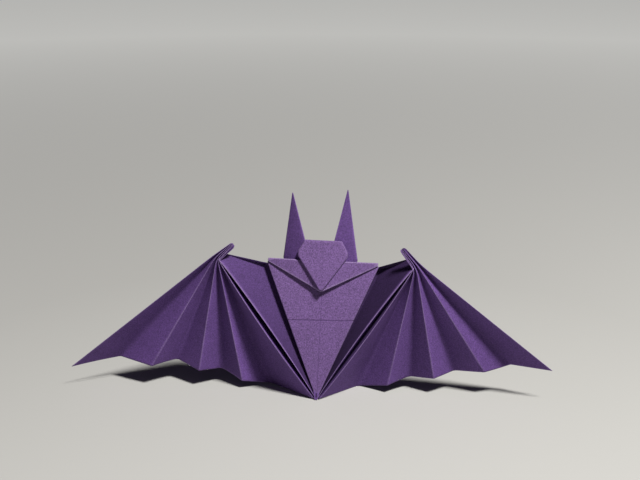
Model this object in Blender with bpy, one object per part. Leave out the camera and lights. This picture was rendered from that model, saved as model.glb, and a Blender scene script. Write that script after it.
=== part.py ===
# Origami bat, folded from one square sheet of purple paper.
# The sheet is one solid: a chest with a turned-down collar and a head, two ears,
# and two pleated wings whose pleats run together into a small claw at each wrist.
# Units are metres, +Z is up, -Y is the front, and the bat stands on its own folds.
import bpy
import numpy as np
from math import cos, pi, radians, sin, tan
from mathutils import Matrix, Vector

MM = 0.001
PAPER = 0.12 * MM            # one layer of the sheet
FOLD_ANGLE = radians(22.5)   # the half angle that most of the body's folds are laid to

# The body leans back, and a little to one side, on the point of its chest.
LEAN_BACK = radians(15)
LEAN_SIDE = radians(1.4)

# Chest: a flat V, seen from the front.
CHEST_HEIGHT = 47.4 * MM
CHEST_CREASE_HEIGHT = 28.6 * MM
CHEST_CREASE_RISE = 0.35 * MM
CHEST_THICKNESS = 0.5 * MM
LAYERS_BEHIND = 2.0 * MM     # the folded layers that lie flat behind the chest
LAYERS_INSET = 2.9 * MM      # they stop short of the chest's folded edges
LAYERS_FOOT = 1.0 * MM
LAYERS_DROP = 0.4 * MM

# Collar: a triangle turned down over the top of the chest.
COLLAR_TOP = 48.9 * MM
COLLAR_HALF_WIDTH = 19.5 * MM
COLLAR_APEX = 38.0 * MM
COLLAR_THICKNESS = 0.3 * MM
COLLAR_PROUD_TOP = 0.9 * MM
COLLAR_PROUD_APEX = 3.3 * MM
COLLAR_BACK = 0.9 * MM       # how far behind the chest's face the turned edge reaches
COLLAR_TAB = 4.0 * MM        # and how far it runs down there
COLLAR_TAB_SLANT = 1.8       # its sides run in by this much of its length
COLLAR_BLUNT = 0.7 * MM

# Head: a flat six-sided fold in front of the collar.
HEAD_TOP = 56.1 * MM
HEAD_TOP_HALF = 6.5 * MM
HEAD_CORNER = 52.2 * MM
HEAD_CORNER_HALF = 8.75 * MM
HEAD_CORNER_DROP = 1.6 * MM
HEAD_CHIN = 38.3 * MM
HEAD_THICKNESS = 0.6 * MM
HEAD_EDGE_RADIUS = 0.2 * MM
HEAD_PROUD_TOP = 2.2 * MM
HEAD_PROUD_CHIN = 4.3 * MM
HEAD_LAYERS = 2.5 * MM       # the layers folded up inside, out to the collar and ears
HEAD_LAYERS_INSET = 1.8 * MM
HEAD_CHIN_RISE = 2.2         # the chin rises by this much of an inset

# Ears: two narrow spikes that rise from behind the collar, each turned outwards.
EARS = (
    {"name": "ear_left", "side": -1, "base": -9.3 * MM, "tip": -11.9 * MM, "top": 72.3 * MM,
     "turn": radians(26)},
    {"name": "ear_right", "side": 1, "base": 7.2 * MM, "tip": 7.6 * MM, "top": 74.1 * MM,
     "turn": radians(9)},
)
EAR_THICKNESS = 0.25 * MM
EAR_BASE = 49.5 * MM
EAR_HALF_WIDTH = 4.8 * MM
EAR_ROOT = 43.0 * MM         # how far down the ears reach behind the collar
EAR_ROOT_SHARE = 0.8
EAR_PROUD = 0.2 * MM

# Wings. Each crease runs from its foot on the wing's lower edge to the wrist.
# A foot is (across, behind, height) in mm from the chest's point, listed from the
# body outwards. Folds alternate: valleys lie back and ridges stand forward.
WINGS = (
    {
        "name": "folded_sheet",
        "side": -1,
        "wrist": (34.05, 7.8, 47.8),
        "feet": ((17.7, 16.6, -0.1), (27.4, 7.8, 3.1), (34.3, 14.0, 5.5), (43.0, 8.0, 6.9),
                 (51.2, 13.6, 8.4), (60.0, 7.7, 8.2), (73.0, 13.0, 9.2), (88.2, 4.1, 7.9)),
        "claw_angle": radians(44),
        "claw_length": 7.4 * MM,
        "lane": 0.30 * MM,
        "lane_at_end": 0.17 * MM,
        "bend": 0.8 * MM,
        "bend_step": 0.30 * MM,
    },
    {
        "name": "right_wing",
        "side": 1,
        "wrist": (32.9, 4.6, 47.4),
        "feet": ((13.5, 14.7, -0.1), (24.5, 7.9, 3.1), (32.2, 13.7, 4.8), (40.8, 7.8, 6.4),
                 (47.2, 13.2, 7.8), (58.5, 8.2, 9.1), (67.3, 12.6, 10.9), (81.8, 4.5, 11.8)),
        "claw_angle": radians(60),
        "claw_length": 7.4 * MM,
        "lane": 0.38 * MM,
        "lane_at_end": 0.17 * MM,
        "bend": 0.9 * MM,
        "bend_step": 0.42 * MM,
    },
)
# The groove beside the body: the feet of its two lips and of the valley between.
GROOVE_FEET = ((0.3, 0.15, 0.2), (0.5, 0.9, 0.6), (0.8, 0.25, 0.2))
GROOVE_OPENS = (0.8 * MM, 0.0, 0.5 * MM)     # how far each of the three bows sideways
GROOVE_LIPS = 1.1 * MM       # how far the lips bow forward half way up
GROOVE_DEPTH = 5.0 * MM      # and how far the valley bows back there
STACK_DEPTH = 0.95 * MM      # half the depth of the flat pleats at the wrist
CLAW_DEPTH = 0.45 * MM       # the same at the claw's end
CREASE = 0.2 * MM            # width of a sharp fold
VALLEY_ROUNDING = 0.16       # share of a panel that a valley's curve takes up
TIP_VALLEY_ROUNDING = 0.42   # the last valley is a soft curve, not a crease
LEAST_ROUNDING = 0.06
BEND_LIMIT = 0.4             # share of the claw that a bend takes up at most
PANEL_BEHIND = 1.8 * MM      # the inner panel folds forward from this far behind the chest
PANEL_HIDDEN = 4.5 * MM      # and its hidden edge lies this far inside
PANEL_TUCK = 0.6 * MM
PANEL_FOOT = (0.3 * MM, 1.6 * MM)
PANEL_HIDDEN_FOOT = 2.4 * MM
PANEL_DROP = 0.8 * MM        # the panel starts this far below the chest's top
PANEL_TOP_TUCK = 0.4 * MM

STRAIGHT_STEPS = 9
BEND_STEPS = 5
CLAW_STEPS = 3
PANEL_TOP_STEP = 1           # the inner panel ends at this step along the claw

PAPER_COLOUR = (0.188, 0.112, 0.278, 1.0)

BODY_TURN = np.array(Matrix.Rotation(-LEAN_BACK, 3, "X") @ Matrix.Rotation(LEAN_SIDE, 3, "Y"))
RIGHTWARD = BODY_TURN @ np.array((1.0, 0.0, 0.0))
BACKWARD = BODY_TURN @ np.array((0.0, 1.0, 0.0))
UPWARD = BODY_TURN @ np.array((0.0, 0.0, 1.0))


def clear_scene():
    for item in list(bpy.data.objects):
        bpy.data.objects.remove(item)


def paper_material():
    material = bpy.data.materials.new("purple_paper")
    material.use_nodes = True
    shader = material.node_tree.nodes["Principled BSDF"]
    shader.inputs["Base Color"].default_value = PAPER_COLOUR
    shader.inputs["Roughness"].default_value = 0.85
    shader.inputs["Metallic"].default_value = 0.0
    return material


def on_body(across, up, proud=0.0):
    # A point in the leaning plane of the chest, proud of it towards the front.
    return RIGHTWARD * across + UPWARD * up - BACKWARD * proud


def unit(vectors):
    return vectors / np.linalg.norm(vectors, axis=-1, keepdims=True)


def between(first, second, share):
    return first + (second - first) * share


def new_sheet(name, points, faces, thickness, offset, material):
    # A surface of folded paper, given its thickness.
    mesh = bpy.data.meshes.new(name)
    mesh.from_pydata([Vector(point) for point in points], [], faces)
    mesh.materials.append(material)
    item = bpy.data.objects.new(name, mesh)
    bpy.context.scene.collection.objects.link(item)
    solid = item.modifiers.new("paper thickness", "SOLIDIFY")
    solid.thickness = thickness
    solid.offset = offset
    solid.use_even_offset = True
    solid.use_quality_normals = True
    return item


def crease_knees(wing, feet, claw_normal):
    # Where each crease turns into the claw. The layers lie side by side, one
    # lane apart before and after the turn, so each step is a mitre.
    knees = [np.array(wing["wrist"]) * MM * (wing["side"], 1, 1)]
    for foot in feet[1:]:
        incoming = knees[-1] - foot
        incoming = unit(incoming - BACKWARD * (incoming @ BACKWARD))
        normal = np.cross(BACKWARD, incoming) * wing["side"]
        step = (normal + claw_normal) / (1 + normal @ claw_normal)
        knees.append(knees[-1] + step * wing["lane"])
    return np.array(knees)


def crease_lines(wing):
    # Every crease as a row of points: straight up the wing, round the bend at
    # the wrist, then along the claw. Ridges stand forward and valleys lie back.
    side = wing["side"]
    feet = np.array(GROOVE_FEET + wing["feet"]) * MM * (side, 1, 1)
    claw = RIGHTWARD * (-side * cos(wing["claw_angle"])) + UPWARD * sin(wing["claw_angle"])
    claw_normal = RIGHTWARD * (side * sin(wing["claw_angle"])) + UPWARD * cos(wing["claw_angle"])
    order = np.arange(len(feet))[:, None]
    back = np.where(order % 2 == 0, -1.0, 1.0)
    knees = crease_knees(wing, feet, claw_normal)
    ends = (knees[0] + claw * wing["claw_length"] + claw_normal * order * wing["lane_at_end"]
            + BACKWARD * back * CLAW_DEPTH)
    knees = knees + BACKWARD * back * STACK_DEPTH
    radius = wing["bend"] + wing["bend_step"] * order
    start = knees + unit(feet - knees) * radius
    finish = knees + unit(ends - knees) * np.minimum(radius, wing["claw_length"] * BEND_LIMIT)

    rows = []
    for step in range(STRAIGHT_STEPS):
        share = step / (STRAIGHT_STEPS - 1)
        bow = sin(pi * share)
        row = between(feet, start, share)
        row[0:3:2] -= BACKWARD * GROOVE_LIPS * bow
        row[1] += BACKWARD * GROOVE_DEPTH * bow
        row[0] -= RIGHTWARD * side * GROOVE_OPENS[0] * bow
        row[2] += RIGHTWARD * side * GROOVE_OPENS[2] * bow
        rows.append(row)
    for step in range(1, BEND_STEPS + 1):
        share = step / BEND_STEPS
        rows.append(between(between(start, knees, share), between(knees, finish, share), share))
    for step in range(1, CLAW_STEPS + 1):
        rows.append(between(finish, ends, step / CLAW_STEPS))
    return np.stack(rows, axis=1)


def crease_rails(wing, lines):
    # A ridge becomes two rails, a fold's width apart. A valley becomes four or
    # more, along a curve that closes to a square fold where the pleats lie flat.
    steps = lines.shape[1]
    along = unit(np.gradient(lines, axis=1))
    sideways = unit(np.cross(BACKWARD, along)) * wing["side"]
    stacked = np.concatenate([np.linspace(0, 1, STRAIGHT_STEPS), np.ones(steps - STRAIGHT_STEPS)])
    lane = np.concatenate([np.full(steps - CLAW_STEPS, wing["lane"]),
                           np.linspace(wing["lane"], wing["lane_at_end"], CLAW_STEPS + 1)[1:]])
    width = (between(CREASE, lane, stacked))[None, :, None]
    inner = lines - sideways * width / 2
    outer = lines + sideways * width / 2
    rails = []
    last = len(lines) - 1
    for i in range(last):
        if i % 2 == 0 or i == 1:
            rails += [inner[i], outer[i]]
            continue
        soft_tip = i == last - 1
        rounding = TIP_VALLEY_ROUNDING if soft_tip else VALLEY_ROUNDING
        places = (0.2, 0.4, 0.6, 0.8) if soft_tip else (1 / 3, 2 / 3)
        share = (rounding * (1 - stacked ** 2) + LEAST_ROUNDING)[:, None]
        before = between(inner[i], outer[i - 1], share)
        after = between(outer[i], inner[i + 1], share)
        rails.append(before)
        for place in places:
            curve = (before * (1 - place) ** 3 + inner[i] * 3 * place * (1 - place) ** 2
                     + outer[i] * 3 * place ** 2 * (1 - place) + after * place ** 3)
            square = between(inner[i], outer[i], (place - places[0]) / (places[-1] - places[0]))
            rails.append(between(square, curve, (1 - stacked ** 3)[:, None]))
        rails.append(after)
    rails.append(inner[last])
    return rails


def inner_panel_rails(wing, lip):
    # Between the body and the groove: the sheet's hidden edge behind the chest,
    # the valley beside the chest's folded edge, and a rail half way to the lip.
    side = wing["side"]
    half = CHEST_HEIGHT * tan(FOLD_ANGLE)
    climb = np.linspace(0, 1, STRAIGHT_STEPS)[:, None]
    foot = on_body(side * PANEL_FOOT[0], PANEL_FOOT[1], -0.5 * PANEL_BEHIND)
    top_height = CHEST_HEIGHT - PANEL_DROP
    shoulder = on_body(side * (half - PANEL_TUCK), top_height, -PANEL_BEHIND)
    hidden_foot = on_body(0.0, PANEL_HIDDEN_FOOT, -0.5 * PANEL_BEHIND)
    hidden_top = on_body(side * (half - PANEL_HIDDEN), top_height, -PANEL_BEHIND)
    hidden = between(hidden_foot, hidden_top, climb)
    top_steps = BEND_STEPS + PANEL_TOP_STEP
    top = lip[STRAIGHT_STEPS + top_steps - 1] - RIGHTWARD * side * PANEL_TOP_TUCK
    along_top = between(shoulder, top, np.linspace(0, 1, top_steps + 1)[1:, None])
    valley = np.concatenate([between(foot, shoulder, climb), along_top])
    middle = between(valley, lip[:len(valley)], 0.5)
    return [hidden, valley, middle]


def make_wing(wing, material):
    lines = crease_lines(wing)
    rails = crease_rails(wing, lines)
    rails = inner_panel_rails(wing, rails[0]) + rails
    starts = np.cumsum([0] + [len(rail) for rail in rails])
    faces = []
    for r in range(len(rails) - 1):
        for s in range(min(len(rails[r]), len(rails[r + 1])) - 1):
            a = starts[r] + s
            b = starts[r + 1] + s
            faces.append((a, a + 1, b + 1, b))
    return new_sheet(wing["name"], np.concatenate(rails), faces, PAPER, 0.0, material)


def make_plate(name, corners, faces, thickness, material):
    return new_sheet(name, [on_body(*corner) for corner in corners], faces, thickness, -1.0, material)


def make_chest(material):
    top = CHEST_HEIGHT * tan(FOLD_ANGLE)
    middle = CHEST_CREASE_HEIGHT * tan(FOLD_ANGLE)
    corners = [(0, 0, 0), (middle, CHEST_CREASE_HEIGHT, 0), (top, CHEST_HEIGHT, 0),
               (0, CHEST_HEIGHT, 0.5 * CHEST_CREASE_RISE), (-top, CHEST_HEIGHT, 0),
               (-middle, CHEST_CREASE_HEIGHT, 0), (0, CHEST_CREASE_HEIGHT, CHEST_CREASE_RISE)]
    faces = [(0, 1, 6), (0, 6, 5), (6, 1, 2), (6, 2, 3), (6, 3, 4), (6, 4, 5)]
    return make_plate("chest", corners, faces, CHEST_THICKNESS, material)


def make_layers_behind(material):
    top = CHEST_HEIGHT - LAYERS_DROP
    half = CHEST_HEIGHT * tan(FOLD_ANGLE) - LAYERS_INSET
    corners = [(0, LAYERS_FOOT, 0), (half, top, 0), (-half, top, 0)]
    return make_plate("layers_behind", corners, [(0, 1, 2)], LAYERS_BEHIND, material)


def make_collar(material):
    # The front triangle, the turn over its top edge and the tab behind.
    wide = COLLAR_HALF_WIDTH
    low = COLLAR_TOP - COLLAR_BLUNT
    inset = COLLAR_BLUNT / 2
    tab = wide - COLLAR_TAB * COLLAR_TAB_SLANT
    corners = [(-wide, low, COLLAR_PROUD_TOP), (0, COLLAR_APEX, COLLAR_PROUD_APEX),
               (wide, low, COLLAR_PROUD_TOP), (wide - inset, COLLAR_TOP, COLLAR_PROUD_TOP),
               (inset - wide, COLLAR_TOP, COLLAR_PROUD_TOP),
               (wide - inset, COLLAR_TOP, -COLLAR_BACK), (inset - wide, COLLAR_TOP, -COLLAR_BACK),
               (tab, COLLAR_TOP - COLLAR_TAB, -COLLAR_BACK), (-tab, COLLAR_TOP - COLLAR_TAB, -COLLAR_BACK)]
    faces = [(0, 1, 2, 3, 4), (4, 3, 5, 6), (6, 5, 7, 8)]
    return make_plate("collar", corners, faces, COLLAR_THICKNESS, material)


def head_outline(inset):
    # Across and up for the six sides, with the two blunt corners.
    low = HEAD_CORNER - HEAD_CORNER_DROP
    corner = HEAD_CORNER_HALF - inset
    top = HEAD_TOP_HALF - inset
    half = [(corner, low), (corner, HEAD_CORNER - inset / 2), (top, HEAD_TOP - inset)]
    return [(0, HEAD_CHIN + HEAD_CHIN_RISE * inset)] + half + [(-across, up) for across, up in reversed(half)]


def head_plate(name, inset, sunk, thickness, material):
    slope = (HEAD_PROUD_TOP - HEAD_PROUD_CHIN) / (HEAD_TOP - HEAD_CHIN)
    corners = []
    for across, up in head_outline(inset):
        corners.append((across, up, HEAD_PROUD_CHIN + slope * (up - HEAD_CHIN) - sunk))
    return make_plate(name, corners, [tuple(range(len(corners)))], thickness, material)


def make_head(material):
    head = head_plate("head", 0.0, 0.0, HEAD_THICKNESS, material)
    bevel = head.modifiers.new("soft fold", "BEVEL")
    bevel.width = HEAD_EDGE_RADIUS
    bevel.segments = 2
    bevel.limit_method = "ANGLE"
    return head


def make_head_layers(material):
    # The layers folded up inside the head join it to the collar and the ears.
    return head_plate("head_layers", HEAD_LAYERS_INSET, HEAD_THICKNESS / 2, HEAD_LAYERS, material)


def make_ear(ear, material):
    def corner(across, up):
        turned = (across - ear["base"]) * ear["side"] * tan(ear["turn"])
        return (across, up, EAR_PROUD - turned)
    base = ear["base"]
    root = EAR_HALF_WIDTH * EAR_ROOT_SHARE
    corners = [corner(base - root, EAR_ROOT), corner(base + root, EAR_ROOT),
               corner(base + EAR_HALF_WIDTH, EAR_BASE),
               corner(ear["tip"], ear["top"]), corner(base - EAR_HALF_WIDTH, EAR_BASE)]
    return make_plate(ear["name"], corners, [(0, 1, 2, 4), (2, 3, 4)], EAR_THICKNESS, material)


def join(sheet, others):
    for other in others:
        union = sheet.modifiers.new("join " + other.name, "BOOLEAN")
        union.operation = "UNION"
        union.solver = "EXACT"
        union.object = other
        other.hide_render = True
        other.display_type = "WIRE"


def set_down(sheet, others):
    # The origin goes under the middle of the sheet's box, at table height.
    bpy.context.view_layer.update()
    joined = sheet.evaluated_get(bpy.context.evaluated_depsgraph_get())
    points = np.array([vertex.co[:] for vertex in joined.data.vertices])
    middle = (points.min(axis=0) + points.max(axis=0)) / 2
    for item in [sheet] + others:
        item.location = (-middle[0], -middle[1], -points.min(axis=0)[2])


def main():
    clear_scene()
    material = paper_material()
    sheet = make_wing(WINGS[0], material)
    others = [make_wing(WINGS[1], material), make_chest(material), make_layers_behind(material),
              make_collar(material), make_head(material), make_head_layers(material)]
    others += [make_ear(ear, material) for ear in EARS]
    join(sheet, others)
    set_down(sheet, others)


main()
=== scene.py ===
# Purple origami bat: the finished sheet, its paper, the light and the camera.
import math
import bpy
import numpy as np
from mathutils import Matrix, Vector


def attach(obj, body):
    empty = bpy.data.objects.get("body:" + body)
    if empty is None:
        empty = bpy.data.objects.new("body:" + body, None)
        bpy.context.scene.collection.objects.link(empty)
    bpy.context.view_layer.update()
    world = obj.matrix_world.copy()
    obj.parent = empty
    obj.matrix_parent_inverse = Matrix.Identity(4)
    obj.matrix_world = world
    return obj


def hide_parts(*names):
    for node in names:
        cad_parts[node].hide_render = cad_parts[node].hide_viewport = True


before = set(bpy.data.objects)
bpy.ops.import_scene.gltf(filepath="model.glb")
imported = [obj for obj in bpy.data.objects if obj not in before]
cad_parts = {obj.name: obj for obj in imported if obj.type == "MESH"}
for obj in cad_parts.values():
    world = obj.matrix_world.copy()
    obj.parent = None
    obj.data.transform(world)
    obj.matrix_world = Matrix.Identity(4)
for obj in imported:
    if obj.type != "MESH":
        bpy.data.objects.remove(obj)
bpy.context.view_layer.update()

print("frame loaded")

mm = 0.001
body = {
    "point": (3.2, -10.02, 0.12),    # mm, where the chest's point stands in the frame
    "leanBack": 15.0,               # degrees
    "leanSide": 1.4,
    "height": 47.4,                 # mm up the leaning chest
    "halfWidth": 19.7,
}
bodyTurn = np.array(Matrix.Rotation(-math.radians(body["leanBack"]), 3, "X")
                    @ Matrix.Rotation(math.radians(body["leanSide"]), 3, "Y"))
rightward, backward, upward = bodyTurn.T


def onBody(across, up, proud):
    # across * rightward + up * upward - proud * backward, all in mm
    return (np.multiply.outer(across, rightward) + np.multiply.outer(up, upward)
            - np.multiply.outer(proud, backward))


def unit(vectors):
    # v / |v|
    return vectors / np.maximum(np.linalg.norm(vectors, axis=-1, keepdims=True), 1e-9)


def blend(first, second, share):
    # a + (b - a) * share
    return first + (second - first) * share


def makeObject(name, points, quads, triangles, uv, wearAndPaintedLight, material):
    # Puts a mesh's points into the frame: place = (point + the chest's point) * mm.
    mesh = bpy.data.meshes.new(name)
    places = (points + np.array(body["point"])) * mm
    loops = np.concatenate([quads.ravel(), triangles.ravel()]).astype(np.int32)
    sizes = np.concatenate([np.full(len(quads), 4), np.full(len(triangles), 3)])
    starts = np.concatenate([[0], np.cumsum(sizes)[:-1]]).astype(np.int32)
    mesh.vertices.add(len(places))
    mesh.vertices.foreach_set("co", places.ravel())
    mesh.loops.add(len(loops))
    mesh.loops.foreach_set("vertex_index", loops)
    mesh.polygons.add(len(sizes))
    mesh.polygons.foreach_set("loop_start", starts)
    mesh.polygons.foreach_set("use_smooth", np.ones(len(sizes), dtype=bool))
    mesh.update(calc_edges=True)
    layer = mesh.uv_layers.new(name="sheet")
    layer.data.foreach_set("uv", uv[loops].ravel())
    # the attribute holds rubbed paleness and painted highlights above 0, and painted shade below 0
    mesh.attributes.new("wearAndPaintedLight", "FLOAT", "POINT").data.foreach_set("value", wearAndPaintedLight)
    mesh.validate()
    mesh.materials.append(material)
    item = bpy.data.objects.new(name, mesh)
    bpy.context.scene.collection.objects.link(item)
    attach(item, "root")


def gridNormals(grid):
    # unit(dP/drow x dP/dcolumn)
    return unit(np.cross(np.gradient(grid, axis=0), np.gradient(grid, axis=1)))


def closedSheet(name, grid, thickness, uv, wearAndPaintedLight, material):
    # Two copies of the grid, half a thickness to each side, walled in along the rim:
    # front = P + n * t / 2 and back = P - n * t / 2.
    rows, columns = grid.shape[:2]
    offset = gridNormals(grid) * np.asarray(thickness)[..., None] / 2
    points = np.concatenate([(grid + offset).reshape(-1, 3), (grid - offset).reshape(-1, 3)])
    index = np.arange(rows * columns).reshape(rows, columns)
    a, b, c, d = index[:-1, :-1], index[1:, :-1], index[1:, 1:], index[:-1, 1:]
    front = np.stack([a, b, c, d], axis=-1).reshape(-1, 4)
    back = front[:, ::-1] + rows * columns
    rim = np.concatenate([index[:, 0], index[-1, 1:], index[-2::-1, -1], index[0, -2:0:-1]])
    after = np.roll(rim, -1)
    walls = np.stack([after, rim, rim + rows * columns, after + rows * columns], axis=-1)
    quads = np.concatenate([front, back, walls])
    noTriangles = np.zeros((0, 3), int)
    makeObject(name, points, quads, noTriangles, np.concatenate([uv.reshape(-1, 2)] * 2),
               np.concatenate([wearAndPaintedLight.ravel()] * 2), material)


def rimOf(corners, rounding, count):
    # A polygon walked at an even pace, then averaged over the rounding's length:
    # corner(s) = mean of P(s - r .. s + r).
    closed = np.array(list(corners) + [corners[0]], dtype=float)
    lengths = np.concatenate([[0], np.cumsum(np.linalg.norm(np.diff(closed, axis=0), axis=1))])
    pace = np.linspace(0, lengths[-1], count, endpoint=False)
    walked = np.stack([np.interp(pace, lengths, closed[:, k]) for k in range(2)], axis=-1)
    window = max(1, int(round(rounding / lengths[-1] * count)))
    shifts = [np.roll(walked, k, axis=0) for k in range(-window, window + 1)]
    return np.mean(shifts, axis=0)


edgeSteps = (0.03, 0.12, 0.28, 0.5, 0.75, 1.0)    # rings over a plate's rounded edge, as shares of it
ringCrowding = 0.9              # below 1 the rings inside it stand closer to the centre


def closedPlate(name, settings, surface, material):
    # Rings run in from the rim. Half the thickness is (t / 2) * sqrt(1 - (1 - q / r)^2)
    # at a distance q from the rim, up to the edge's radius r.
    rim = rimOf(settings["corners"], settings["rounding"], settings["around"])
    centre = np.array(settings["centre"], dtype=float)
    reach = np.linalg.norm(centre - rim, axis=1)
    inwards = unit(centre - rim)
    radius = settings["edgeRadius"]
    edge = np.array(edgeSteps) * radius
    inner = np.linspace(0, 1, settings["rings"] + 1)[1:-1] ** ringCrowding
    depth = np.concatenate([np.broadcast_to(edge[:, None], (len(edge), len(rim))),
                            radius + inner[:, None] * (reach - radius)[None, :]])
    flat = rim[None] + inwards[None] * depth[..., None]
    half = settings["thickness"] / 2 * np.sqrt(1 - (1 - np.minimum(depth / radius, 1)) ** 2)
    rings, around = depth.shape
    plane = np.concatenate([rim[None], flat]).reshape(-1, 2)
    half = np.concatenate([np.zeros((1, around)), half]).reshape(-1)
    plane = np.concatenate([plane, centre[None]])
    half = np.append(half, settings["thickness"] / 2)
    middle = surface(plane[:, 0], plane[:, 1])
    front = onBody(plane[:, 0], plane[:, 1], middle + half)
    behind = onBody(plane[:, 0], plane[:, 1], middle - half)
    points = np.concatenate([front, behind[around:]])
    total = len(front)
    index = np.arange((rings + 1) * around).reshape(rings + 1, around)
    a, b = index[:-1], index[1:]
    quads = np.stack([a, np.roll(a, -1, 1), np.roll(b, -1, 1), b], axis=-1).reshape(-1, 4)
    cap = np.stack([index[-1], np.roll(index[-1], -1), np.full(around, total - 1)], axis=-1)

    def mirrored(faces):
        # The same faces on the back copy, which shares the rim, wound the other way.
        return np.where(faces < around, faces, faces + total - around)[:, ::-1]

    rubAndHighlight = np.exp(-(np.concatenate([np.zeros((1, around)), depth]) / settings["wearWidth"]) ** 2)
    wearAndPaintedLight = np.append(rubAndHighlight.reshape(-1), 0.0) * settings["wearAndPaintedLight"]
    wearAndPaintedLight = np.concatenate([wearAndPaintedLight, wearAndPaintedLight[around:]])
    uv = np.concatenate([plane, plane[around:]])
    quads = np.concatenate([quads, mirrored(quads)])
    makeObject(name, points, quads, np.concatenate([cap, mirrored(cap)]), uv, wearAndPaintedLight, material)


def addNode(tree, kind, inputs=None, **values):
    # One node: an input that is a socket is linked, any other is set.
    node = tree.nodes.new(kind)
    for key, value in values.items():
        setattr(node, key, value)
    for key, value in (inputs or {}).items():
        if isinstance(value, bpy.types.NodeSocket):
            tree.links.new(value, node.inputs[key])
        else:
            node.inputs[key].default_value = value
    return node


def combine(tree, operation, first, second, third=None):
    # One maths node: operation(first, second) or operation(first, second, third).
    inputs = {0: first, 1: second}
    if third is not None:
        inputs[2] = third
    return addNode(tree, "ShaderNodeMath", inputs, operation=operation).outputs[0]


def spread(tree, value, low, high, toLow, toHigh):
    # toLow + (value - low) / (high - low) * (toHigh - toLow), clamped
    inputs = {"Value": value, "From Min": low, "From Max": high, "To Min": toLow, "To Max": toHigh}
    return addNode(tree, "ShaderNodeMapRange", inputs).outputs[0]


creaseFade = 1.0                # mm over which a crease's painted shade and dent fade out past its ends


def creaseMask(tree, uv, crease):
    # strength * (1 - |u - place - slant * v| / width) where above 0, faded out past both ends
    parts = addNode(tree, "ShaderNodeSeparateXYZ", {0: uv})
    along, across = parts.outputs[0], parts.outputs[1]
    if crease["upright"]:
        along, across = across, along
    path = combine(tree, "MULTIPLY_ADD", along, crease["slant"], crease["place"])
    away = combine(tree, "ABSOLUTE", combine(tree, "SUBTRACT", across, path), 0.0)
    line = spread(tree, away, 0.0, crease["width"], 1.0, 0.0)
    low = spread(tree, along, crease["from"] - creaseFade, crease["from"], 0.0, 1.0)
    high = spread(tree, along, crease["to"], crease["to"] + creaseFade, 1.0, 0.0)
    ends = combine(tree, "MULTIPLY", low, high)
    return combine(tree, "MULTIPLY", line, combine(tree, "MULTIPLY", ends, crease["strength"]))


paper = {
    "colour": (0.130, 0.072, 0.205),
    "pale": (0.34, 0.25, 0.44),
    "shadeColour": (0.070, 0.035, 0.122),
    "grain": 2400.0,            # noise cells per metre
    "grainRange": (0.32, 0.68),
    "mottle": (0.54, 1.52),     # the grain's darkest and palest share of the colour
    "cloud": 120.0,
    "cloudRange": (0.3, 0.7),
    "cloudTone": (0.93, 1.07),
    "fibre": (700.0, 3000.0),   # cells per metre along a fibre and across it
    "fibreTurns": (0.35, 1.3, 2.4),
    "fibreRange": (0.60, 0.72),
    "fibreShare": 0.05,
    "shadeShare": 0.9,          # painted shade: how much of the shade colour shows where the attribute is at -1
    "wornRange": (0.3, 0.62),
    "wornTone": (0.35, 1.0),    # a pale fold (rubbed, partly a painted highlight) is paler on the grain's high spots
    "wearAndHighlightShare": 0.55,
    # painted shade: creases take the shade colour, besides their dent in the bump
    "creaseShadeShare": 0.9,
    "grainRelief": 0.8,         # heights that bump multiplies
    "fibreRelief": 0.08,
    "creaseRelief": 2.5,
    "bump": 0.00005,            # metres
    "roughness": 0.82,
    "specular": 0.25,
}
# painted shade: the wings' paper is a darker copy of the body's paper, standing in for the pleats' shade
shadedWingPaper = {
    **paper,
    "colour": (0.109, 0.053, 0.205),    # painted shade: the body's paper made darker, for the wings, ears and foot
    "shadeColour": (0.022, 0.009, 0.044),
    "mottle": (0.64, 1.42),
}


def mixColours(tree, share, first, second):
    # first * (1 - share) + second * share
    node = addNode(tree, "ShaderNodeMix", {0: share, 6: first, 7: second}, data_type="RGBA")
    return node.outputs[2]


def doubled(colour):
    # 2 * colour
    return (colour[0] * 2, colour[1] * 2, colour[2] * 2, 1)


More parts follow.
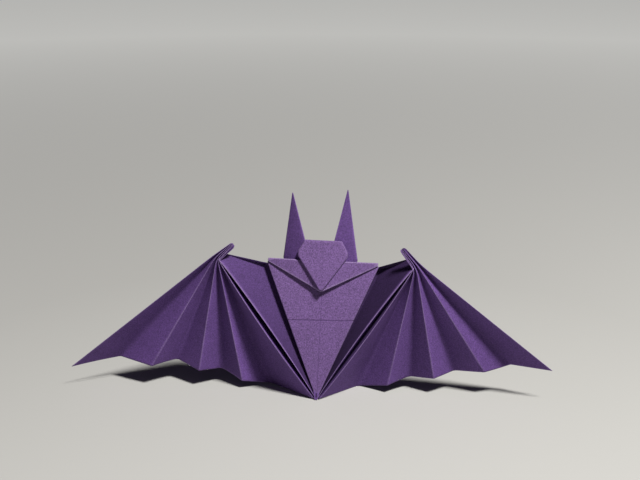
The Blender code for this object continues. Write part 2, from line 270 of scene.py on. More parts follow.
def paperMaterial(name, settings, creases):
    # Dyed paper: fine mottled grain, short pale fibres, slow clouding, pale folds (rubbed, partly a painted
    # highlight) and painted shade along creases. The tone is colour * mottle(grain) * cloudTone(cloud), with
    # painted shade where the attribute < 0 and paler where it > 0.
    material = bpy.data.materials.new(name)
    material.use_nodes = True
    tree = material.node_tree
    shader = tree.nodes["Principled BSDF"]
    place = addNode(tree, "ShaderNodeTexCoord").outputs["Object"]
    uv = addNode(tree, "ShaderNodeUVMap", uv_map="sheet").outputs[0]
    wearAndPaintedLight = addNode(tree, "ShaderNodeAttribute", attribute_name="wearAndPaintedLight").outputs["Fac"]
    grain = addNode(tree, "ShaderNodeTexNoise", {"Vector": place, "Scale": settings["grain"], "Detail": 3.0,
                                                 "Roughness": 0.65}).outputs[0]
    cloud = addNode(tree, "ShaderNodeTexNoise", {"Vector": place, "Scale": settings["cloud"],
                                                 "Detail": 4.0}).outputs[0]
    fibres = None
    scale = (settings["fibre"][0], settings["fibre"][1], settings["fibre"][1])
    for turn in settings["fibreTurns"]:
        turned = addNode(tree, "ShaderNodeMapping", {"Vector": place, "Rotation": (0.3, turn, 0.2),
                                                     "Scale": scale}).outputs[0]
        strands = addNode(tree, "ShaderNodeTexNoise", {"Vector": turned, "Scale": 1.0, "Detail": 1.0})
        mask = spread(tree, strands.outputs[0], *settings["fibreRange"], 0.0, 1.0)
        fibres = mask if fibres is None else combine(tree, "MAXIMUM", fibres, mask)
    tone = combine(tree, "MULTIPLY", spread(tree, grain, *settings["grainRange"], *settings["mottle"]),
                   spread(tree, cloud, *settings["cloudRange"], *settings["cloudTone"]))
    pale = (*settings["pale"], 1)
    dyed = addNode(tree, "ShaderNodeVectorMath", {0: settings["colour"], "Scale": tone},
                   operation="SCALE").outputs[0]
    colour = mixColours(tree, combine(tree, "MULTIPLY", fibres, settings["fibreShare"]), dyed, pale)
    # painted shade: where the attribute is below 0 the mottled shade colour is mixed in
    paintedShade = spread(tree, wearAndPaintedLight, -1.0, 0.0, settings["shadeShare"], 0.0)
    shadeGrain = mixColours(tree, grain, (0, 0, 0, 1), doubled(settings["shadeColour"]))
    colour = mixColours(tree, paintedShade, colour, shadeGrain)
    # pale folds: rubbed paleness, partly a painted highlight on lips, ridges and the collar
    wornAndHighlight = combine(tree, "MULTIPLY", combine(tree, "MAXIMUM", wearAndPaintedLight, 0.0),
                   spread(tree, grain, *settings["wornRange"], *settings["wornTone"]))
    colour = mixColours(tree, combine(tree, "MULTIPLY", wornAndHighlight, settings["wearAndHighlightShare"]), colour, pale)
    height = combine(tree, "ADD", combine(tree, "MULTIPLY", grain, settings["grainRelief"]),
                     combine(tree, "MULTIPLY", fibres, settings["fibreRelief"]))
    # painted shade along each crease, plus a dent in the height
    for crease in creases:
        mask = creaseMask(tree, uv, crease)
        creaseShade = combine(tree, "MULTIPLY", mask, settings["creaseShadeShare"])
        colour = mixColours(tree, creaseShade, colour, (*settings["shadeColour"], 1))
        height = combine(tree, "SUBTRACT", height, combine(tree, "MULTIPLY", mask, settings["creaseRelief"]))
    bump = addNode(tree, "ShaderNodeBump", {"Height": height, "Distance": settings["bump"], "Strength": 1.0})
    tree.links.new(colour, shader.inputs["Base Color"])
    tree.links.new(bump.outputs[0], shader.inputs["Normal"])
    shader.inputs["Roughness"].default_value = settings["roughness"]
    shader.inputs["Specular IOR Level"].default_value = settings["specular"]
    return material


chest = {
    "corners": ((0.0, 0.0), (19.75, 47.8), (-19.75, 47.8)),
    "centre": (0.0, 30.0),
    "rounding": 0.2,
    "around": 480,              # points round the rim
    "rings": 26,
    "thickness": 0.9,
    "edgeRadius": 0.45,
    "wearAndPaintedLight": 0.5,
    "wearWidth": 0.35,
    "roof": 0.2,                # mm that the middle stands over the sides at the top
    "roofBlunt": 0.5,
    "bow": 1.2,                 # mm that the chest bows forward half way up
    "creases": (
        {"upright": True, "place": 0.0, "slant": 0.004, "width": 0.26, "from": 4.0, "to": 46.0,
         "strength": 0.5},
        {"upright": False, "place": 28.0, "slant": 0.036, "width": 0.34, "from": -11.6, "to": 11.6,
         "strength": 0.9},
    ),
}
backLayers = {
    "corners": ((0.0, 1.4), (17.0, 46.9), (-17.0, 46.9)),
    "centre": (0.0, 30.0),
    "rounding": 0.3,
    "around": 360,
    "rings": 12,
    "thickness": 2.6,
    "edgeRadius": 0.5,
    "wearAndPaintedLight": 0.3,
    "wearWidth": 0.4,
    "creases": ({"upright": True, "place": 0.0, "slant": 0.0, "width": 0.25, "from": 3.0, "to": 46.0,
                 "strength": 1.0},),
    "proud": -1.5,
}
collar = {
    "corners": ((0.0, 38.0), (19.5, 48.0), (19.3, 48.9), (-19.3, 48.9), (-19.5, 48.0)),
    "centre": (0.0, 45.4),
    "rounding": 0.15,
    "around": 420,
    "rings": 16,
    "thickness": 0.4,
    "edgeRadius": 0.2,
    # pale rim: rubbed paleness and a painted highlight along the collar's edges
    "wearAndPaintedLight": 1.3,
    "wearWidth": 0.32,
    "creases": (),
    "proudEnds": 0.55,
    "slope": 0.125,             # each half rises towards the middle by this much per mm
}
head = {
    "corners": ((-0.45, 38.5), (0.45, 38.5), (8.75, 50.4), (8.75, 52.1), (6.5, 56.1), (-6.5, 56.1),
                (-8.75, 52.1), (-8.75, 50.4)),
    "centre": (0.0, 49.0),
    "rounding": 0.35,
    "around": 420,
    "rings": 20,
    "thickness": 1.3,
    "edgeRadius": 0.65,
    "wearAndPaintedLight": 0.35,
    "wearWidth": 0.3,
    "creases": ({"upright": True, "place": 0.05, "slant": 0.0, "width": 0.26, "from": 40.0, "to": 55.0,
                 "strength": 0.25},),
    "proudTop": 2.5,
    "proudChin": 4.3,
    "top": 56.1,
    "chin": 38.2,
    "halfWidth": 8.75,
    "swell": 0.12,              # mm that the head's middle swells over its sides
    "swellTurn": 1.4,
}
foot = {
    "corners": ((-0.7, -0.05), (0.3, -0.05), (0.95, 2.5), (0.7, 2.9), (-0.1, 2.2), (-1.0, 3.3), (-1.25, 3.0)),
    "centre": (-0.15, 1.3),
    "rounding": 0.08,
    "around": 200,
    "rings": 8,
    "thickness": 0.3,
    "edgeRadius": 0.13,
    "wearAndPaintedLight": 0.7,
    "wearWidth": 0.14,
    "creases": ({"upright": True, "place": -0.2, "slant": 0.02, "width": 0.42, "from": 1.0, "to": 2.0,
                 "strength": 1.2},),
    "proud": 0.2,
}
headLayers = {
    "corners": ((0.0, 44.5), (5.4, 51.0), (5.4, 51.8), (4.6, 54.4), (-4.6, 54.4), (-5.4, 51.8), (-5.4, 51.0)),
    "centre": (0.0, 49.0),
    "rounding": 0.3,
    "around": 240,
    "rings": 8,
    "thickness": 2.2,
    "edgeRadius": 0.5,
    "wearAndPaintedLight": 0.0,
    "wearWidth": 0.3,
    "creases": (),
    "behind": 1.4,              # mm behind the head's face
}


def chestSurface(across, up):
    # A shallow roof over a slight bow: roof * (1 - |x| / w) * s + bow * 4 * s * (1 - s)
    share = np.clip(up / chest["corners"][1][1], 0, 1)
    roof = chest["roof"] * (1 - np.abs(across) / (body["halfWidth"] * share + chest["roofBlunt"])) * share
    return roof + chest["bow"] * 4 * share * (1 - share) - chest["thickness"] / 2


def collarRise(across):
    # slope * (half width - |x|)
    return collar["slope"] * (collar["corners"][1][0] - np.abs(across))


def collarSurface(across, up):
    # proud at the ends - thickness / 2 + rise
    return collar["proudEnds"] - collar["thickness"] / 2 + collarRise(across)


def headSurface(across, up):
    # chin to top in a straight line - thickness / 2 + swell * cos(turn * x / w)
    share = (up - head["chin"]) / (head["top"] - head["chin"])
    swell = head["swell"] * np.cos(across / head["halfWidth"] * head["swellTurn"])
    return blend(head["proudChin"], head["proudTop"], share) - head["thickness"] / 2 + swell


def flatSurface(settings):
    # proud = a fixed number
    return lambda across, up: np.full_like(up, settings["proud"])


def makeBody():
    # Each flat part is a closed plate on its own surface: proud = f(across, up).
    closedPlate("chest", chest, chestSurface, paperMaterial("chest_paper", paper, chest["creases"]))
    closedPlate("backLayers", backLayers, flatSurface(backLayers),
                paperMaterial("back_paper", paper, backLayers["creases"]))
    plain = paperMaterial("body_paper", paper, ())
    closedPlate("collar", collar, collarSurface, plain)
    closedPlate("head", head, headSurface, paperMaterial("head_paper", paper, head["creases"]))
    closedPlate("foot", foot, flatSurface(foot), paperMaterial("shaded_foot_paper", shadedWingPaper, foot["creases"]))
    closedPlate("headLayers", headLayers,
                lambda across, up: headSurface(across, up) - headLayers["behind"], plain)
    makeCollarFold(plain)


collarFold = {
    "halfLength": 19.35,
    "radius": 0.42,
    "front": 1.6,               # mm that it runs down in front
    "tab": 4.0,                 # and behind
    "flare": 0.24,              # the front's lower edge stands out by this share of its length
    "slant": 1.7,               # the sides run in by this much of the way down
    "gap": 0.1,
    "thickness": 0.22,
    "rubAndHighlight": 0.35,             # width of the pale line along the fold's top, mm: rubbed paleness and a painted highlight
    "columns": 160,
    "rollRows": 14,
    "frontRows": 4,
    "tabRows": 8,
    "middle": (-0.5, 48.5),     # proud of the chest and up, mm, of the roll's axis
}


def makeCollarFold(material):
    # A U section, down the front, round the roll and down behind, drawn across:
    # (proud, up) = axis + r * (cos a, sin a) for a from 0 to 180 degrees.
    f = collarFold
    angle = np.linspace(0, math.pi, f["rollRows"])
    proud = np.concatenate([[f["radius"]] * f["frontRows"], f["radius"] * np.cos(angle),
                            [-f["radius"]] * f["tabRows"]]) + f["middle"][0]
    proud[:f["frontRows"]] += np.linspace(f["front"], 0, f["frontRows"]) * f["flare"]
    up = np.concatenate([np.linspace(-f["front"], -f["gap"], f["frontRows"]), f["radius"] * np.sin(angle),
                         np.linspace(-f["gap"], -f["tab"], f["tabRows"])]) + f["middle"][1]
    across = np.linspace(-1, 1, f["columns"])
    narrowing = np.clip(f["middle"][1] - up, 0, None) * f["slant"]
    acrossGrid = across[None, :] * (f["halfLength"] - narrowing[:, None])
    upGrid = np.broadcast_to(up[:, None], acrossGrid.shape)
    grid = onBody(acrossGrid, upGrid, proud[:, None] + collarRise(acrossGrid))
    uv = np.stack([np.broadcast_to(across * f["halfLength"], grid.shape[:2]),
                   np.broadcast_to(up[:, None], grid.shape[:2])], axis=-1)
    rubAndHighlight = np.exp(-((up - f["middle"][1] - f["radius"]) / f["rubAndHighlight"]) ** 2)
    wearAndPaintedLight = np.broadcast_to(rubAndHighlight[:, None], grid.shape[:2])
    thickness = np.full(grid.shape[:2], f["thickness"])
    closedSheet("collarFold", grid[:, ::-1], thickness, uv[:, ::-1], wearAndPaintedLight, material)


ears = (
    {"name": "earLeft", "side": -1, "base": -9.3, "tip": -11.9, "top": 72.3, "turn": 26.0},
    {"name": "earRight", "side": 1, "base": 7.2, "tip": 7.6, "top": 74.1, "turn": 9.0},
)
earShape = {
    "baseHeight": 49.5,
    "root": 46.6,
    "halfWidth": 4.8,
    "tipHalf": 0.12,
    "rootShare": 0.8,
    "proud": 0.2,
    "thickness": 0.34,
    "thinning": 0.5,            # the edges are thinner by this share
    "paintedShade": -0.3,              # painted shade: the whole ear a little darker
    "edgeWear": 0.8,
    "edgePower": 14,            # a high power keeps the paleness to the very edge
    "cup": 0.35,                # how far an ear's middle is bowed forwards, mm
    "rootRows": 8,
    "rows": 70,
    "columns": 27,
}


def makeEar(ear, material):
    # Across each height the ear spans from - w to + w, w falling to 0 at the tip, and
    # proud = proud0 - (x - base) * tan(turn) + cup * (1 - v^2).
    e = earShape
    up = np.concatenate([np.linspace(e["root"], e["baseHeight"], e["rootRows"])[:-1],
                         np.linspace(e["baseHeight"], ear["top"], e["rows"])])
    rise = np.clip((up - e["baseHeight"]) / (ear["top"] - e["baseHeight"]), 0, 1)
    fall = np.clip((e["baseHeight"] - up) / (e["baseHeight"] - e["root"]), 0, 1)
    half = e["halfWidth"] * (1 - rise) * (1 - (1 - e["rootShare"]) * fall) + e["tipHalf"]
    middle = blend(ear["base"], ear["tip"], rise)
    v = np.linspace(-1, 1, e["columns"])
    across = middle[:, None] + half[:, None] * v[None, :]
    proud = (e["proud"] - (across - ear["base"]) * ear["side"] * math.tan(math.radians(ear["turn"]))
             + e["cup"] * (1 - v[None, :] ** 2) * (1 - rise[:, None]))
    upGrid = np.broadcast_to(up[:, None], across.shape)
    grid = onBody(across, upGrid, proud)
    edge = np.broadcast_to(np.abs(v)[None, :] ** e["edgePower"], across.shape)
    wearAndPaintedLight = edge * (e["edgeWear"] - e["paintedShade"]) + e["paintedShade"]
    thickness = e["thickness"] * (1 - e["thinning"] * np.abs(v)[None, :] ** 6) * np.ones_like(across)
    closedSheet(ear["name"], grid, thickness, np.stack([across, upGrid], axis=-1), wearAndPaintedLight, material)


wings = (
    {
        "name": "wingLeft",
        "side": -1,
        "wrist": (34.6, 7.8, 47.8),
        "feet": ((17.8, 13.3, 0.6), (27.4, 7.8, 3.0), (35.6, 14.0, 5.4), (43.0, 8.0, 6.3),
                 (51.9, 14.2, 8.3), (60.0, 7.2, 7.8), (72.8, 13.4, 8.9), (88.4, 4.1, 7.9)),
        "clawAngle": 44.0,
        "clawLength": 7.4,
        "lanes": (0.10, 0.10, 0.10, 0.15, 0.28, 0.32, 0.36, 0.42, 0.48, 0.50),   # between layers, mm
        "lanesAtEnd": (0.42, 0.42, 0.12, 0.12, 0.13, 0.13, 0.15, 0.15, 0.14, 0.14),
        "clawDepth": (-0.75, -0.85, -0.75, 0.4, -0.3, 0.4, -0.35, 0.4, -0.3, 0.4, -0.35),
        "bend": 0.7,                # radius of the first crease's bend at the wrist
        "bendStep": 0.32,           # and how much more each next one has
        "panelBehind": 3.2,         # mm from the chest's face back to the inner panel's valley
        "panelSteps": 13,           # the inner panel ends this many steps along the claw
        # painted shade: the inner panel is darker, this much at its top and -1 at its foot
        "panelTopShade": -0.5,
        "seed": 3,
    },
    {
        "name": "wingRight",
        "side": 1,
        "wrist": (32.9, 4.6, 47.4),
        "feet": ((13.7, 14.7, -0.1), (24.6, 7.9, 3.0), (32.2, 13.7, 4.6), (40.9, 7.8, 6.2),
                 (48.1, 13.2, 7.6), (58.6, 8.2, 9.1), (67.8, 11.3, 11.2), (81.8, 4.8, 11.8)),
        "clawAngle": 52.0,
        "clawLength": 7.9,
        "lanes": (0.10, 0.10, 0.10, 0.15, 0.30, 0.35, 0.45, 0.48, 0.50, 0.55),
        "lanesAtEnd": (0.13, 0.13, 0.14, 0.14, 0.15, 0.15, 0.15, 0.15, 0.45, 0.40),
        "clawDepth": (-0.45, 0.4, -0.4, 0.4, -0.35, 0.4, -0.45, 0.3, -0.65, -0.7, -0.5),
        "bend": 0.8,
        "bendStep": 0.40,
        "panelBehind": 3.0,
        "panelSteps": 15,
        "panelTopShade": -1.0,
        "seed": 8,
    },
)
groove = {
    "feet": ((0.3, 0.15, 0.2), (0.5, 0.9, 0.6), (0.8, 0.25, 0.2)),
    "opens": (1.25, 0.0, 1.0),   # how far each crease bows sideways, mm
    "opensPower": 0.7,          # below 1 a bow is fuller towards its ends
    "lips": 1.1,                # how far the lips bow forward
    "depth": 6.0,               # and the valley between them back
    "depthPower": 0.5,
}
pleats = {
    "across": (0, 0.012, 0.03, 0.06, 0.1, 0.16, 0.24, 0.34, 0.45, 0.55, 0.66, 0.76, 0.84, 0.9, 0.94,
               0.97, 0.988),    # rows across a panel, closer at its folds
    "stackDepth": 0.95,         # half the depth of the flat pleats at the wrist, mm
    "bendLimit": 0.35,          # the share of the claw that a bend takes up at most
    "bluntFrom": 0.86,          # the claw's last part is drawn in to a blunt end
    "bluntShare": 0.75,
    "thickness": 0.15,
    "straightSteps": 84,
    "bendSteps": 16,
    "clawSteps": 30,
    "rounding": 0.035,          # a fold's half width, as a share of a panel
    "valleyRounding": 0.14,
    "tipValleyRounding": 0.18,
    "softPower": 0.6,           # below 1 a valley turns soft soon below the wrist
    "paintedShade": 0.0,
    "valleyShade": 0.34,        # painted shade: darker towards the valleys
    # painted shade: the claws darker towards their ends
    "clawShade": -0.75,
    "ridgeWidth": 0.03,         # a pale ridge's width (rubbed, partly a painted highlight), as a share of a panel
    "ridgeFade": 0.6,           # its paleness is less by this share at the free edge
    "footWear": 0.5,            # the free edge itself
    "grooveWear": 0.8,          # share of the wear and painted light that the groove's own panels have
    "lipWearAndHighlight": 1.5,             # the groove's outer lip is the palest fold: rubbed paleness and a painted highlight
    "swell": 0.35,              # how far a panel bows between its folds, mm
    "swellPower": 0.5,
    "swellFade": 0.3,           # it is less by this share at the free edge
}


def plainLayout(rows, rowStep, start, shape):
    # u = start + row * rowStep and v = step / 2, clear of the body plates' own layout
    return np.stack([np.broadcast_to(rows[:, None] * rowStep + start, shape),
                     np.broadcast_to(np.arange(shape[1])[None, :] * 0.5, shape)], axis=-1)


def creaseLines(wing):
    # Each crease runs foot -> knee -> claw's end, with a quadratic bend at the knee:
    # (1 - a)^2 S + 2 a (1 - a) K + a^2 F. Even creases are ridges, odd ones valleys.
    side = wing["side"]
    angle = math.radians(wing["clawAngle"])
    feet = np.array(groove["feet"] + wing["feet"]) * (side, 1, 1)
    claw = -rightward * side * math.cos(angle) + upward * math.sin(angle)
    clawNormal = rightward * side * math.sin(angle) + upward * math.cos(angle)
    knees = [np.array(wing["wrist"]) * (side, 1, 1)]
    for foot, lane in zip(feet[1:], wing["lanes"]):
        incoming = knees[-1] - foot
        incoming = unit(incoming - backward * (incoming @ backward))
        normal = np.cross(backward, incoming) * side
        knees.append(knees[-1] + (normal + clawNormal) / (1 + normal @ clawNormal) * lane)
    order = np.arange(len(feet))[:, None]
    back = np.where(order % 2 == 0, -1.0, 1.0)
    wrist = knees[0]
    knees = np.array(knees) + backward * back * pleats["stackDepth"]
    beside = np.concatenate([[0], np.cumsum(wing["lanesAtEnd"])])[:, None]
    ends = (wrist + claw * wing["clawLength"] + clawNormal * beside
            + backward * np.array(wing["clawDepth"])[:, None])
    radius = wing["bend"] + wing["bendStep"] * order
    start = knees + unit(feet - knees) * radius
    finish = knees + unit(ends - knees) * np.minimum(radius, wing["clawLength"] * pleats["bendLimit"])
    share = np.linspace(0, 1, pleats["straightSteps"])[None, :, None]
    bow = np.clip(np.sin(math.pi * share), 0, 1)
    straight = blend(feet[:, None], start[:, None], share)
    forward = np.zeros((len(feet), 1, 1))
    forward[[0, 2]] = groove["lips"]
    sunk = np.zeros((len(feet), 1, 1))
    sunk[1] = groove["depth"]
    sideways = np.zeros((len(feet), 1, 1))
    sideways[0], sideways[2] = -groove["opens"][0], groove["opens"][2]
    straight = (straight - backward * forward * bow
                + rightward * side * sideways * bow ** groove["opensPower"])
    straight = straight + backward * sunk * bow ** groove["depthPower"]
    share = np.linspace(0, 1, pleats["bendSteps"] + 1)[None, 1:, None]
    bend = blend(blend(start[:, None], knees[:, None], share),
                 blend(knees[:, None], finish[:, None], share), share)
    share = np.linspace(0, 1, pleats["clawSteps"] + 1)[None, 1:, None]
    straightClaw = blend(finish[:, None], ends[:, None], share)
    core = straightClaw.mean(axis=0, keepdims=True)
    drawn = np.clip((share - pleats["bluntFrom"]) / (1 - pleats["bluntFrom"]), 0, 1)
    blunt = np.sqrt(1 - drawn ** 2 * pleats["bluntShare"])
    offset = straightClaw - core
    along = (offset @ claw)[..., None] * claw
    return np.concatenate([straight, bend, core + along + (offset - along) * blunt], axis=1)


def smoothRamp(x, width):
    # 0 below -w, x above w, and (x + w)^2 / 4w between
    return np.where(x > width, x, np.where(x < -width, 0.0, (x + width) ** 2 / (4 * width)))


def makeWing(wing, material):
    # P(s) = C0 + D0 * s + sum of (Di - D(i-1)) * ramp(s - i), with Di = C(i+1) - Ci. Between
    # its folds each panel is moved by swell * random * sin(pi u) along its normal.
    lines = creaseLines(wing)
    count, steps = lines.shape[:2]
    spans = np.diff(lines, axis=0)
    s = np.append((np.arange(count - 1)[:, None] + np.array(pleats["across"])).ravel(), count - 1.0)
    straight = pleats["straightSteps"]
    free = np.concatenate([1 - np.linspace(0, 1, straight), np.zeros(steps - straight)])
    grid = lines[0][None] + spans[0][None] * s[:, None, None]
    for i in range(1, count - 1):
        wide = pleats["rounding"] if i % 2 == 0 else pleats["valleyRounding"]
        if i == count - 2:
            wide = pleats["tipValleyRounding"]
        softness = free ** pleats["softPower"] if i < count - 2 else np.sqrt(4 * free * (1 - free))
        width = (pleats["rounding"] + (wide - pleats["rounding"]) * softness)[None, :]
        grid = grid + (spans[i] - spans[i - 1])[None] * smoothRamp(s[:, None] - i, width)[..., None]
    u = s - np.floor(s)
    random = np.random.default_rng(wing["seed"])
    swing = random.uniform(-1, 1, count)[np.minimum(np.floor(s).astype(int), count - 2)]
    outwards = np.floor(s) >= len(groove["feet"])
    bowed = pleats["swell"] * swing * np.sin(math.pi * u) * outwards
    reach = free ** pleats["swellPower"] * (1 - pleats["swellFade"] * free)
    grid = grid - gridNormals(grid) * (bowed[:, None] * reach[None, :])[..., None]
    fromRidge = np.abs(s / 2 - np.round(s / 2)) * 2
    ridge = (np.exp(-(fromRidge / pleats["ridgeWidth"]) ** 2)[:, None]
             * (1 - pleats["ridgeFade"] * free ** 2)[None, :])
    # painted shade: darker in the valleys and along the claws; ridges pale (rubbed, partly a painted
    # highlight)
    paintedShade = np.concatenate([np.full(straight, pleats["paintedShade"]),
                            np.linspace(pleats["paintedShade"], pleats["clawShade"], steps - straight)])
    paintedShade = paintedShade[None, :] - pleats["valleyShade"] * fromRidge[:, None] * (free > 0)[None, :]
    wearAndPaintedLight = paintedShade + (1 - paintedShade) * ridge
    wearAndPaintedLight[:, 0] = pleats["footWear"]
    outerLip = 2 * len(pleats["across"])
    wearAndPaintedLight[:outerLip - 1] *= pleats["grooveWear"]
    wearAndPaintedLight[outerLip, :straight] = pleats["lipWearAndHighlight"]
    uv = plainLayout(s, 5.0, 100.0, grid.shape[:2])
    thickness = np.full(grid.shape[:2], pleats["thickness"])
    if wing["side"] > 0:
        grid, uv, wearAndPaintedLight = grid[::-1], uv[::-1], wearAndPaintedLight[::-1]
    closedSheet(wing["name"], grid, thickness, uv, wearAndPaintedLight, material)
    makeInnerPanel(wing, lines[0], material)


innerPanel = {
    "below": 0.8,               # mm from the chest's top down to the panel's top
    "foot": (0.3, 1.6),         # across and up, where its valley starts
    "tuck": -0.4,               # the valley's top stands out past the chest's side by this
    "hiddenFoot": 2.4,
    "hidden": 4.5,              # mm that the hidden edge lies inside the chest's side
    "hiddenRise": 0.3,
    "drift": 1.5,               # mm that the lip's row moves outwards above the wrist
    "topInset": 0.4,
    "topSag": -0.35,
    "belly": 0.45,              # mm that the panel bows back in its middle
    "rows": 22,
    "hiddenRows": 8,
    "besideLipShade": -0.2,          # painted shade on the row next to the lip
}


def makeInnerPanel(wing, lip, material):
    # From the hidden edge behind the chest, over the valley beside it, to the lip. Above
    # the wrist the lip is moved back into the panel's plane: P - b * (n . P) / (n . b).
    p = innerPanel
    side = wing["side"]
    behind = wing["panelBehind"]
    up = body["height"] - p["below"]
    straight = pleats["straightSteps"]
    beyond = pleats["bendSteps"] + wing["panelSteps"]
    climb = np.linspace(0, 1, straight)
    half = body["halfWidth"]

    def row(low, high):
        # low + (high - low) * climb
        return blend(onBody(*low)[None], onBody(*high)[None], climb[:, None])

    valley = row((side * p["foot"][0], p["foot"][1], -0.5 * behind),
                 (side * (half - p["tuck"]), up, -behind))
    hidden = row((0.0, p["hiddenFoot"], -0.5 * behind),
                 (side * (half - p["hidden"]), up, backLayers["proud"]))
    lipRow = lip[:straight + beyond].copy()
    normal = unit(np.cross(valley[-1] - valley[0], lipRow[straight - 1] - valley[0]))
    over = (lipRow[straight:] - valley[0]) @ normal - (lipRow[straight - 1] - valley[0]) @ normal
    lipRow[straight:] -= np.multiply.outer(over / (backward @ normal), backward)
    lipRow[straight:] += np.multiply.outer(np.linspace(0, p["drift"], beyond), rightward * side)
    top = lipRow[-1] - rightward * side * p["topInset"]
    share = np.linspace(0, 1, beyond + 1)[1:, None]
    topEdge = blend(valley[-1], top, share) + np.sin(math.pi * share) * upward * p["topSag"]
    hiddenTop = blend(hidden[-1], valley[-1], share * p["hiddenRise"])
    valley = np.concatenate([valley, topEdge])
    hidden = np.concatenate([hidden, hiddenTop])
    v = np.linspace(0, 1, p["rows"])[:, None, None]
    inner = blend(hidden[None], valley[None], np.linspace(0, 1, p["hiddenRows"])[:-1, None, None])
    along = np.sin(math.pi * np.linspace(0, 1, len(lipRow)))[None, :, None]
    curve = p["belly"] * np.sin(math.pi * v) * along
    outer = blend(valley[None], lipRow[None], v) + backward * curve
    grid = np.concatenate([inner, outer])
    # painted shade: the panel darker, most at its foot; its lip pale (rubbed, partly a painted highlight)
    depth = np.append(blend(-1.0, wing["panelTopShade"], climb), np.full(beyond, wing["panelTopShade"]))
    wearAndPaintedLight = np.broadcast_to(depth[None, :], grid.shape[:2]).copy()
    wearAndPaintedLight[-1] = pleats["lipWearAndHighlight"]
    wearAndPaintedLight[-2] = p["besideLipShade"]
    uv = plainLayout(np.arange(len(grid)), 1.0, 200.0, grid.shape[:2])
    if side > 0:
        grid, uv, wearAndPaintedLight = grid[::-1], uv[::-1], wearAndPaintedLight[::-1]
    thickness = np.full(grid.shape[:2], pleats["thickness"])
    closedSheet(wing["name"] + "Panel", grid, thickness, uv, wearAndPaintedLight, material)


makeBody()
# painted shade: the darker copy of the paper, for the ears and wings
shadedPaper = paperMaterial("shaded_wing_paper", shadedWingPaper, ())
for ear in ears:
    makeEar(ear, shadedPaper)
for wing in wings:
    makeWing(wing, shadedPaper)
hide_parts("folded_sheet")
print("sheet made")


view = {
    "azimuth": 5.0,             # degrees, towards the bat's left wing
    "pitch": 16.0,              # degrees below level
    "distance": 0.472,          # metres from the lens to the chest's point
    "lens": 75.0,               # mm
    "sensor": 36.0,
    "frame": (640, 480),
    "nearest": 0.01,
    "standPoint": (0.0032, -0.0100, 0.0),   # where the chest's point meets the floor
    "standPixel": (316.5, 400.0),           # and where that lies in the frame
}


def makeCamera(settings):
    # lens = standing point - ray through its pixel * distance
    camera = bpy.data.objects.new("camera", bpy.data.cameras.new("camera"))
    bpy.context.scene.collection.objects.link(camera)
    camera.data.lens = settings["lens"]
    camera.data.sensor_width = settings["sensor"]
    camera.data.clip_start = settings["nearest"]
    camera.rotation_euler = (math.radians(90 - settings["pitch"]), 0, math.radians(settings["azimuth"]))
    width, height = settings["frame"]
    pixelFocal = settings["lens"] / settings["sensor"] * width
    across = (settings["standPixel"][0] - width / 2) / pixelFocal
    up = (height / 2 - settings["standPixel"][1]) / pixelFocal
    ray = camera.rotation_euler.to_matrix() @ Vector((across, up, -1)).normalized()
    camera.location = Vector(settings["standPoint"]) - ray * settings["distance"]
    bpy.context.scene.camera = camera


lamps = (
    {"name": "key", "azimuth": 43.0, "height": 58.0, "away": 0.95, "size": 0.17, "power": 14.3,
     "colour": (1.0, 0.98, 0.95)},
    {"name": "fill", "azimuth": 0.0, "height": 40.0, "away": 1.0, "size": 0.6, "power": 0.12,
     "colour": (0.80, 0.78, 1.0)},
)
lampAim = (0, 0, 0.03)          # metres, the point that the lamps face


def makeLamp(settings):
    # place = aim + away * (sin az * cos h, -cos az * cos h, sin h)
    data = bpy.data.lights.new(settings["name"], "AREA")
    data.shape = "DISK"
    data.size = settings["size"]
    data.energy = settings["power"]
    data.color = settings["colour"]
    lamp = bpy.data.objects.new(settings["name"], data)
    bpy.context.scene.collection.objects.link(lamp)
    azimuth, height = math.radians(settings["azimuth"]), math.radians(settings["height"])
    direction = Vector((math.sin(azimuth) * math.cos(height), -math.cos(azimuth) * math.cos(height),
                        math.sin(height)))
    lamp.location = direction * settings["away"] + Vector(lampAim)
    lamp.rotation_euler = direction.to_track_quat("Z", "Y").to_euler()


backdrop = {
    "colour": (0.46, 0.46, 0.44),
    "farShare": 0.88,           # how pale the camera sees the far floor and the world
    "from": 0.15,               # metres from the bat where the floor starts to pale
    "to": 1.0,
    "halfSide": 3.0,
    "roughness": 0.7,
    "skyColour": (0.70, 0.60, 1.0),
    "skyStrength": 0.03,
}


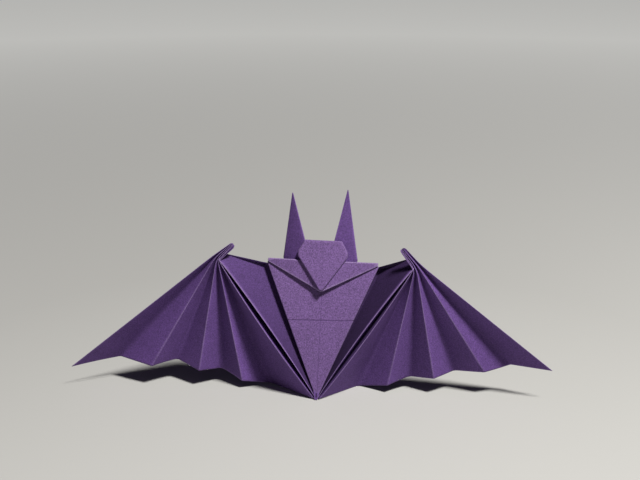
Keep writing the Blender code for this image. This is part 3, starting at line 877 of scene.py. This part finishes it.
def makeFloor(settings):
    # A square floor. Only the camera sees its far part paled by (distance - from) / (to - from).
    mesh = bpy.data.meshes.new("floor")
    h = settings["halfSide"]
    mesh.from_pydata([(-h, -h, 0), (h, -h, 0), (h, h, 0), (-h, h, 0)], [], [(0, 1, 2, 3)])
    floor = bpy.data.objects.new("floor", mesh)
    bpy.context.scene.collection.objects.link(floor)
    material = bpy.data.materials.new("pale_floor")
    material.use_nodes = True
    tree = material.node_tree
    shader = tree.nodes["Principled BSDF"]
    shader.inputs["Base Color"].default_value = (*settings["colour"], 1)
    shader.inputs["Roughness"].default_value = settings["roughness"]
    place = addNode(tree, "ShaderNodeTexCoord").outputs["Object"]
    away = addNode(tree, "ShaderNodeVectorMath", {0: place}, operation="LENGTH").outputs["Value"]
    far = spread(tree, away, settings["from"], settings["to"], 0.0, settings["farShare"])
    seen = addNode(tree, "ShaderNodeLightPath").outputs["Is Camera Ray"]
    shader.inputs["Emission Color"].default_value = (*settings["colour"], 1)
    tree.links.new(combine(tree, "MULTIPLY", far, seen), shader.inputs["Emission Strength"])
    mesh.materials.append(material)


def makeWorld(settings):
    # Faint violet light all round, and the backdrop's colour where the camera looks past the
    # floor: sky * (1 - seen) + backdrop * seen.
    world = bpy.data.worlds.new("world")
    bpy.context.scene.world = world
    world.use_nodes = True
    tree = world.node_tree
    light = tree.nodes["Background"]
    light.inputs["Color"].default_value = (*settings["skyColour"], 1)
    light.inputs["Strength"].default_value = settings["skyStrength"]
    shown = addNode(tree, "ShaderNodeBackground", {"Color": (*settings["colour"], 1),
                                                   "Strength": settings["farShare"]})
    seen = addNode(tree, "ShaderNodeLightPath").outputs["Is Camera Ray"]
    both = addNode(tree, "ShaderNodeMixShader", {0: seen, 1: light.outputs[0], 2: shown.outputs[0]})
    tree.links.new(both.outputs[0], tree.nodes["World Output"].inputs["Surface"])


makeCamera(view)
for lamp in lamps:
    makeLamp(lamp)
makeFloor(backdrop)
makeWorld(backdrop)
bpy.context.scene.view_settings.view_transform = "Standard"
print("stage set")
